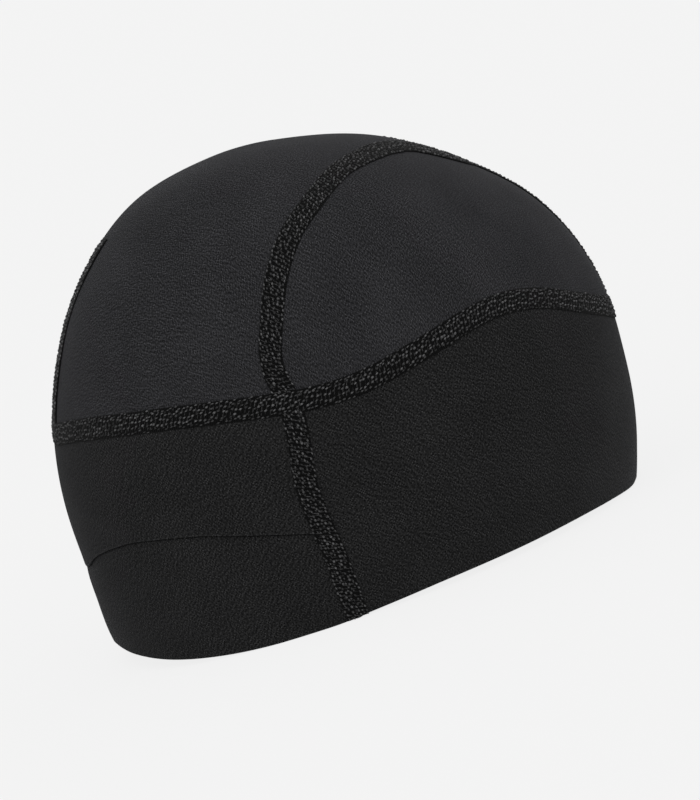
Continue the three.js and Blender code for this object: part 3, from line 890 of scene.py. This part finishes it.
def knit(name, colour, wale, course, relief, contrast, sheen, front_hem_paling=0.0):
    """Fine elastic knit: columns of slanted loops, each a little lighter or darker than its neighbours,
    with painted light on the loops' crowns and painted shade between them, a painted highlight along a cut
    edge and painted shade below it, and where asked, paler cloth towards the middle of the front hem.
    """
    shader = Shader(name)
    vector, u, v, from_edge = shader.weave()
    column = u / wale
    across = column.math("FRACT")
    edge = abs(across - 0.5) * 2
    slanted = v / course + edge * 0.5
    leg = 1 - abs(edge * 2 - 1)
    bow = 1 - abs(slanted.math("FRACT") * 2 - 1)
    height = leg.math("SQRT") * bow.math("SQRT")

    def loop(right, up):
        """Chance value of the half loop some places to the right and up."""
        return shader.random(shader.out(shader.add("ShaderNodeCombineXYZ", {}, {
            0: (column * 2 + right).math("FLOOR"), 1: (slanted + up).math("FLOOR"), 2: 0.0,
        })))

    grain = loop(0, 0) - (loop(1, 0) + loop(0, 1)) * 0.5
    fuzz = shader.noise(vector, FUZZ_SCALE, detail=3.0)
    patches = shader.noise(vector, PATCH_SCALE)
    # Painted highlight just above a cut edge, and painted shade on its underside and on the cloth below it
    near_edge = (1 - abs(from_edge) / PAINTED_EDGE_WIDTH).math("MAXIMUM", 0.0)
    painted_edge_highlight_and_shade = near_edge * (from_edge.math("SIGN") * PAINTED_EDGE_CONTRAST - PAINTED_EDGE_SHADE)
    # Paler towards the middle of the front hem, fading along the band and up it
    near_middle = (1 - abs(u) / PALE_HEM_LENGTH).math("MAXIMUM", 0.0)
    front_hem_lightening = near_middle * (1 - v / PALE_HEM_HEIGHT).math("MAXIMUM", 0.0) * front_hem_paling
    # The loops' relief is painted into the tone: lighter on their crowns, painted shade in the dips between
    # them
    share = height * LOOP_CROWN_LIGHT + grain * contrast + fuzz * FUZZ_SHARE + patches * PATCH_SHARE
    share = (share + painted_edge_highlight_and_shade + front_hem_lightening + TONE_BASE).math("MAXIMUM", 0.0)
    tone = shader.blend(share * share, grey(colour, DARKEST_YARN), grey(colour, LIGHTEST_YARN))
    return shader.finish(tone, roughness=0.84 + grain * 0.1, height=height + fuzz * 0.6, depth=relief,
                         sheen=sheen, sheen_roughness=0.5, specular=0.03, tint=COOL_TINT)


def once(name, make):
    """A material that is made the first time that it is asked for."""
    return bpy.data.materials.get(name) or make(name)


def crown_cloth():
    """The crown's cloth."""
    return once("crown_jersey", lambda name: knit(
        name, settings().crown_colour, wale=0.86, course=0.47, relief=0.00005, contrast=0.39, sheen=0.013))


def band_cloth():
    """The band's cloth."""
    return once("band_jersey", lambda name: knit(
        name, settings().band_colour, wale=0.9, course=0.49, relief=0.00005, contrast=0.44, sheen=0.015,
        front_hem_paling=0.16))


def binding_painted_shade_cloth():
    """The pressed cloth edges under the stitches, painted near black as the shade between the stitches."""

    def make(name):
        """Ribbed matt cloth, dark as painted shade."""
        shader = Shader(name)
        vector, along, _, _ = shader.weave()
        colour = settings().thread_colour
        ribs = (along * RIB_RATE).math("SINE") * 0.5 + 0.5
        fibre = shader.noise(vector, 3.0, detail=3.0)
        # Near black throughout: painted shade in the gaps between stitches and along the strip's sides; the
        # rib crests are painted lighter
        tone = shader.blend(ribs * 0.4 + fibre * 0.6, grey(colour, 0.02), grey(colour, 0.11))
        return shader.finish(tone, roughness=0.85 + fibre * 0.1, height=ribs + fibre, depth=0.00015,
                             sheen=0.025, sheen_roughness=0.5, specular=0.03, tint=WHITE)

    return once("seam_binding", make)


def seam_thread():
    """Sewing thread with a slight shine and painted highlights."""

    def make(name):
        """Fine twisted plies, lighter or darker by the stitch, with painted highlights on the stitches'
        crowns and the plies' crests, and painted shade at the stitches' ends.
        """
        shader = Shader(name)
        _, along, beside, stitch_tone_and_light = shader.weave()
        colour = settings().thread_colour
        plies = ((along + beside * PLY_SLANT) * PLY_RATE).math("SINE") * 0.5 + 0.5
        # The lightest end of this blend is painted highlight on the stitches' crowns
        tone = shader.blend(stitch_tone_and_light * (plies * 0.3 + 0.85), grey(colour, 0.08), grey(colour, 3.6))
        return shader.finish(tone, roughness=0.6 + plies * 0.12, height=plies, depth=0.00008,
                             sheen=0.012, sheen_roughness=0.4, specular=0.06, tint=WHITE)

    return once("sewing_thread", make)


# View of the reference picture: angles in degrees, sizes in metres
VIEW_AZIMUTH = -8.0
VIEW_ELEVATION = 9.0
VIEW_ROLL = 19.05
VIEW_DISTANCE = 1.7
VIEW_TARGET = Vector((0.0, 0.0, 0.0654))
PICTURE = (700, 800)
TARGET_PIXEL = (332.45, 386.36)
PIXELS_PER_METRE = 2915.0
SENSOR = 36.0
FARTHEST_VIEW = 50.0
FLOOR_RADIUS = 9.0
FLOOR_SIDES = 96


def build_camera():
    """Camera at the picture's angle, rolled as the picture is."""
    turn, up = math.radians(VIEW_AZIMUTH), math.radians(VIEW_ELEVATION)
    back = Vector((math.sin(turn) * math.cos(up), -math.cos(turn) * math.cos(up), math.sin(up)))
    right = Vector((0, 0, 1)).cross(back).normalized()
    above = back.cross(right)
    roll = math.radians(VIEW_ROLL)
    x_axis = right * math.cos(roll) - above * math.sin(roll)
    y_axis = right * math.sin(roll) + above * math.cos(roll)
    data = bpy.data.cameras.new("camera")
    data.sensor_width = SENSOR
    data.lens = PIXELS_PER_METRE * VIEW_DISTANCE * SENSOR / max(PICTURE)
    data.shift_x = (PICTURE[0] / 2 - TARGET_PIXEL[0]) / max(PICTURE)
    data.shift_y = (TARGET_PIXEL[1] - PICTURE[1] / 2) / max(PICTURE)
    data.clip_end = FARTHEST_VIEW
    camera = bpy.data.objects.new("camera", data)
    matrix = Matrix((x_axis, y_axis, back)).transposed().to_4x4()
    matrix.translation = VIEW_TARGET + back * VIEW_DISTANCE
    camera.matrix_world = matrix
    bpy.context.scene.collection.objects.link(camera)
    bpy.context.scene.camera = camera


def build_light(name, azimuth, elevation, strength, spread):
    """Broad soft light from far away."""
    data = bpy.data.lights.new(name, "SUN")
    data.energy = strength
    data.angle = math.radians(spread)
    light = bpy.data.objects.new(name, data)
    turn, up = math.radians(azimuth), math.radians(elevation)
    toward = Vector((math.cos(up) * math.cos(turn), math.cos(up) * math.sin(turn), math.sin(up)))
    light.matrix_world = toward.to_track_quat("Z", "Y").to_matrix().to_4x4()
    bpy.context.scene.collection.objects.link(light)


def build_setting():
    """Pale floor, even pale surroundings, soft lights and the camera."""
    chosen = settings()
    scene = bpy.context.scene
    scene.view_settings.view_transform = "Standard"
    world = bpy.data.worlds.new("studio")
    world.use_nodes = True
    background = world.node_tree.nodes["Background"]
    background.inputs["Color"].default_value = WHITE
    background.inputs["Strength"].default_value = chosen.surround
    scene.world = world
    mesh = bpy.data.meshes.new("floor")
    work = bmesh.new()
    bmesh.ops.create_circle(work, cap_ends=True, segments=FLOOR_SIDES, radius=FLOOR_RADIUS)
    work.to_mesh(mesh)
    work.free()
    shader = Shader("floor_paint")
    surface = shader.add("ShaderNodeBsdfPrincipled", {}, {
        "Base Color": (chosen.floor_tone,) * 3 + (1.0,),
        "Roughness": 0.9,
        "Specular IOR Level": 0.0,
        "Emission Color": WHITE,
        "Emission Strength": chosen.floor_glow,
    })
    shader.add("ShaderNodeOutputMaterial", {}, {"Surface": shader.out(surface)})
    mesh.materials.append(shader.material)
    floor = bpy.data.objects.new("floor", mesh)
    scene.collection.objects.link(floor)
    build_light("key_light", azimuth=-108.0, elevation=47.0, strength=chosen.key_light, spread=70.0)
    build_light("rim_light", azimuth=60.0, elevation=35.0, strength=chosen.rim_light, spread=50.0)
    build_light("front_light", azimuth=-15.0, elevation=5.0, strength=chosen.front_light, spread=60.0)
    build_camera()


class LinerCapSettings(bpy.types.PropertyGroup):
    """Sizes and colours of the cap and its setting."""

    crown_thickness: FloatProperty(
        name="Crown Cloth", description="Thickness of the crown's cloth", default=0.0012, min=0.0005,
        unit="LENGTH")
    band_thickness: FloatProperty(
        name="Band Cloth", description="Thickness of the doubled band", default=0.0022, min=0.001,
        unit="LENGTH")
    layer_thickness: FloatProperty(
        name="Rear Layer", description="Thickness of one layer at the back", default=0.001, min=0.0005,
        unit="LENGTH")
    layer_gap: FloatProperty(
        name="Layer Gap", description="Gap between the layers at the back", default=0.00015, min=0.0,
        unit="LENGTH")
    unevenness: FloatProperty(
        name="Unevenness", description="Depth of the slow waves in the cloth", default=0.00012, min=0.0,
        unit="LENGTH")
    seam_width: FloatProperty(
        name="Seam Width", description="Width of the flat seams", default=0.0076, min=0.003, unit="LENGTH")
    seam_height: FloatProperty(
        name="Seam Height", description="Height of the flat seams over the cloth", default=0.00042,
        min=0.0002, unit="LENGTH")
    stitch_pitch: FloatProperty(
        name="Stitch Pitch", description="Length of one stitch", default=0.0015, min=0.0008, unit="LENGTH")
    thread_thickness: FloatProperty(
        name="Thread", description="Thickness of the sewing thread", default=0.0005, min=0.0002,
        unit="LENGTH")
    crown_colour: FloatVectorProperty(
        name="Crown Colour", description="Colour of the crown's cloth", default=(0.0146, 0.0146, 0.0157),
        min=0.0, max=1.0, subtype="COLOR")
    band_colour: FloatVectorProperty(
        name="Band Colour", description="Colour of the band's cloth", default=(0.0094, 0.0094, 0.0095),
        min=0.0, max=1.0, subtype="COLOR")
    thread_colour: FloatVectorProperty(
        name="Thread Colour", description="Colour of the sewing thread", default=(0.034, 0.034, 0.0345),
        min=0.0, max=1.0, subtype="COLOR")
    surround: FloatProperty(
        name="Surroundings", description="Brightness of the pale surroundings", default=0.896, min=0.0)
    floor_tone: FloatProperty(
        name="Floor Tone", description="Lightness of the floor's paint", default=0.045, min=0.0, max=1.0,
        subtype="FACTOR")
    floor_glow: FloatProperty(
        name="Floor Glow", description="Light that the floor gives off", default=0.834, min=0.0)
    key_light: FloatProperty(
        name="Key Light", description="Strength of the soft light from above", default=1.95, min=0.0)
    rim_light: FloatProperty(
        name="Rim Light", description="Strength of the soft light from behind", default=0.5, min=0.0)
    front_light: FloatProperty(
        name="Front Light", description="Strength of the low light on the front", default=0.7, min=0.0)


class CAP_OT_crown(bpy.types.Operator):
    """Build the three panels of the crown"""

    bl_idname = "liner_cap.crown"
    bl_label = "Crown Panels"

    def execute(self, context):
        build_crown()
        return {"FINISHED"}


class CAP_OT_band(bpy.types.Operator):
    """Build the band's front and its two layers at the back"""

    bl_idname = "liner_cap.band"
    bl_label = "Band Panels"

    def execute(self, context):
        build_band()
        return {"FINISHED"}


class CAP_OT_seams(bpy.types.Operator):
    """Build the raised flat seams with their stitches"""

    bl_idname = "liner_cap.seams"
    bl_label = "Flat Seams"

    def execute(self, context):
        build_seams()
        return {"FINISHED"}


class CAP_OT_setting(bpy.types.Operator):
    """Build the floor, the lights and the camera"""

    bl_idname = "liner_cap.setting"
    bl_label = "Floor, Lights and Camera"

    def execute(self, context):
        build_setting()
        return {"FINISHED"}


class CAP_PT_panel(bpy.types.Panel):
    """Sizes, colours and building steps"""

    bl_idname = "CAP_PT_panel"
    bl_label = "Helmet Liner Cap"
    bl_space_type = "VIEW_3D"
    bl_region_type = "UI"
    bl_category = "Liner Cap"

    def draw(self, context):
        column = self.layout.column()
        for key in LinerCapSettings.__annotations__:
            column.prop(context.scene.liner_cap, key)
        for operator in OPERATORS:
            column.operator(operator.bl_idname)


OPERATORS = (CAP_OT_setting, CAP_OT_crown, CAP_OT_band, CAP_OT_seams)
CLASSES = (LinerCapSettings,) + OPERATORS + (CAP_PT_panel,)


def register():
    """Makes the settings, operators and panel known."""
    for item in CLASSES:
        bpy.utils.register_class(item)
    bpy.types.Scene.liner_cap = PointerProperty(type=LinerCapSettings)


def unregister():
    """Takes them away again."""
    del bpy.types.Scene.liner_cap
    for item in reversed(CLASSES):
        bpy.utils.unregister_class(item)


def main():
    """Builds everything."""
    register()
    bpy.ops.liner_cap.setting()
    bpy.ops.liner_cap.crown()
    bpy.ops.liner_cap.band()
    bpy.ops.liner_cap.seams()


if __name__ == "__main__":
    main()
